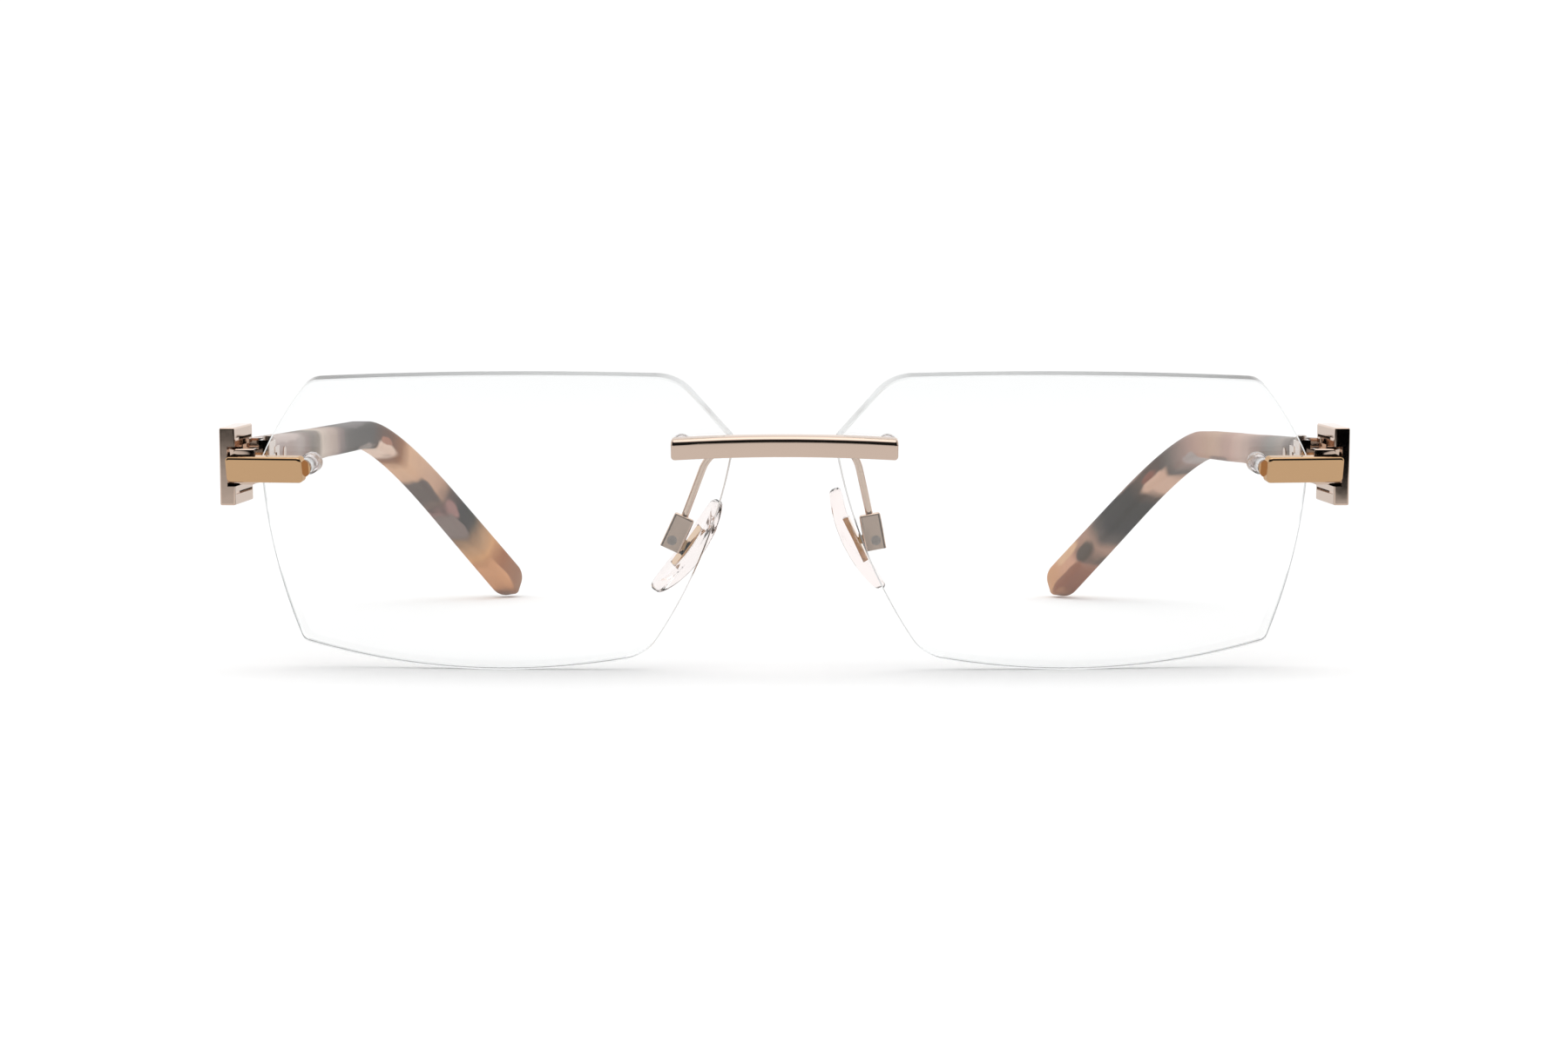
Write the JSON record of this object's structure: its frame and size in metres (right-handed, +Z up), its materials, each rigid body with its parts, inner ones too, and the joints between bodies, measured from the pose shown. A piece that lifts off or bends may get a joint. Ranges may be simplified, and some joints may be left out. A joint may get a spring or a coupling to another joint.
{
  "type": "rimless eyeglasses",
  "caption": "Rimless eyeglasses with angular drilled lenses, a straight metal bridge bar, slotted side plates, adjustable nose pads and folding mottled acetate temples.",
  "frame": {"origin": "middle of the underside of the whole box, with the glasses standing open on the lower lens edges and the temple tips", "axes": "+X towards the wearer's left, +Y from the lenses towards the temple tips, +Z up"},
  "size_m": [0.1386, 0.1348, 0.037],
  "materials": {
    "lens": "clear coated resin",
    "plated_metal": "pale gold plating, polished",
    "gold_metal": "gold plating, polished",
    "screw_steel": "stainless, turned",
    "clear_sleeve": "clear moulded nylon",
    "clear_pad": "clear soft PVC",
    "acetate": "matte mottled cellulose acetate"
  },
  "bodies": {
    "front": {"bridge_bar": "plated_metal", "left_lens": "lens", "left_bridge_pin": "plated_metal", "left_bridge_sleeve": "clear_sleeve", "left_pad_arm": "plated_metal", "left_pad_box": "plated_metal", "left_pad_screw": "screw_steel", "left_endpiece_bar": "gold_metal", "left_endpiece_sleeve": "clear_sleeve", "left_side_plate": "plated_metal", "left_endpiece_block": "plated_metal", "left_hinge_front_leaf": "plated_metal", "left_hinge_screw": "screw_steel", "right_lens": "lens", "right_bridge_pin": "plated_metal", "right_bridge_sleeve": "clear_sleeve", "right_pad_arm": "plated_metal", "right_pad_box": "plated_metal", "right_pad_screw": "screw_steel", "right_endpiece_bar": "gold_metal", "right_endpiece_sleeve": "clear_sleeve", "right_side_plate": "plated_metal", "right_endpiece_block": "plated_metal", "right_hinge_front_leaf": "plated_metal", "right_hinge_screw": "screw_steel"},
    "left_temple_body": {"left_hinge_rear_leaf": "plated_metal", "left_temple_cap": "plated_metal", "left_temple": "acetate", "left_temple_core_wire": "screw_steel", "left_temple_rivet": "plated_metal"},
    "right_temple_body": {"right_hinge_rear_leaf": "plated_metal", "right_temple_cap": "plated_metal", "right_temple": "acetate", "right_temple_core_wire": "screw_steel", "right_temple_rivet": "plated_metal"},
    "left_pad_body": {"left_pad": "clear_pad", "left_pad_insert": "gold_metal"},
    "right_pad_body": {"right_pad": "clear_pad", "right_pad_insert": "gold_metal"}
  },
  "joints": [
    {"name": "left_temple_fold", "type": "hinge", "parent": "front", "child": "left_temple_body", "pos_m": [0.06445, -0.05038, 0.02635], "axis": [0, 0, 1], "range_deg": [0, 77]},
    {"name": "right_temple_fold", "type": "hinge", "parent": "front", "child": "right_temple_body", "pos_m": [-0.06445, -0.05038, 0.02635], "axis": [0, 0, -1], "range_deg": [0, 58]},
    {"name": "left_pad_rock", "type": "hinge", "parent": "front", "child": "left_pad_body", "pos_m": [0.01135, -0.05575, 0.01621], "axis": [0, 1, 0], "range_deg": [-10, 10]},
    {"name": "right_pad_rock", "type": "hinge", "parent": "front", "child": "right_pad_body", "pos_m": [-0.01395, -0.05575, 0.01621], "axis": [0, 1, 0], "range_deg": [-10, 10]}
  ]
}
